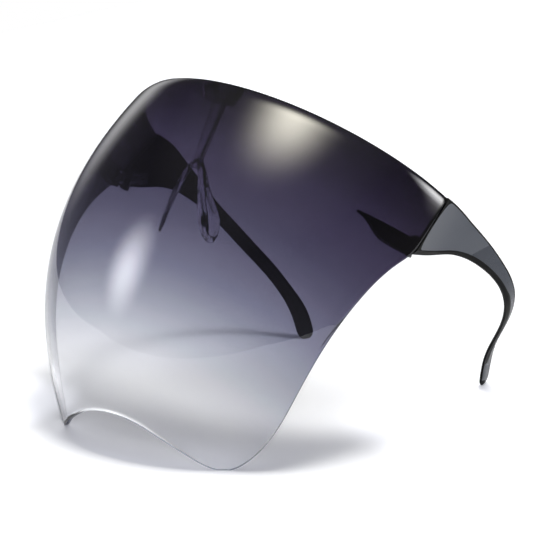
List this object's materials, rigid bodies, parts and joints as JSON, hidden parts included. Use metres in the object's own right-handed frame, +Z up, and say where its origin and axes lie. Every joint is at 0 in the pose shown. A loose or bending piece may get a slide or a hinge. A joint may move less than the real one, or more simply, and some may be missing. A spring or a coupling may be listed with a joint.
{
  "type": "face shield goggles",
  "caption": "Wrap-around tinted face shield worn like goggles, with folding black temples on small metal hinges and a clear slide-in nose piece.",
  "frame": {"origin": "bottom centre of the part's box as it stands, temples open, on its two lower lobes and its two ear tips", "axes": "+X to the wearer's left, -Y the way the wearer looks, +Z up from the surface it stands on; the worn upright leans back by the resting tilt"},
  "size_m": [0.1596, 0.1694, 0.1357],
  "materials": {
    "visor": "polished polycarbonate, dark smoke tint at the brow fading to almost clear at the chin",
    "frame_black": "moulded, gloss black",
    "hinge_metal": "black-nickel-plated, satin",
    "nose_clear": "moulded clear, slightly soft gloss"
  },
  "bodies": {
    "front": {"visor": "visor", "nose_mount": "nose_clear", "nose_piece": "nose_clear", "left_end_piece": "frame_black", "left_end_leaf": "hinge_metal", "left_hinge_screw": "hinge_metal", "left_end_leaf_screw_1": "hinge_metal", "left_end_leaf_screw_2": "hinge_metal", "right_end_piece": "frame_black", "right_end_leaf": "hinge_metal", "right_hinge_screw": "hinge_metal", "right_end_leaf_screw_1": "hinge_metal", "right_end_leaf_screw_2": "hinge_metal"},
    "left_temple": {"left_temple": "frame_black", "left_temple_leaf": "hinge_metal", "left_temple_leaf_screw_1": "hinge_metal", "left_temple_leaf_screw_2": "hinge_metal"},
    "right_temple": {"right_temple": "frame_black", "right_temple_leaf": "hinge_metal", "right_temple_leaf_screw_1": "hinge_metal", "right_temple_leaf_screw_2": "hinge_metal"}
  },
  "joints": [
    {"name": "left_temple_fold", "type": "hinge", "parent": "front", "child": "left_temple", "pos_m": [0.07421, 0.0008, 0.07528], "axis": [0, 0.5201, 0.8541], "range_deg": [0, 90]},
    {"name": "right_temple_fold", "type": "hinge", "parent": "front", "child": "right_temple", "pos_m": [-0.07421, 0.0008, 0.07528], "axis": [0, -0.5201, -0.8541], "range_deg": [0, 84]}
  ]
}
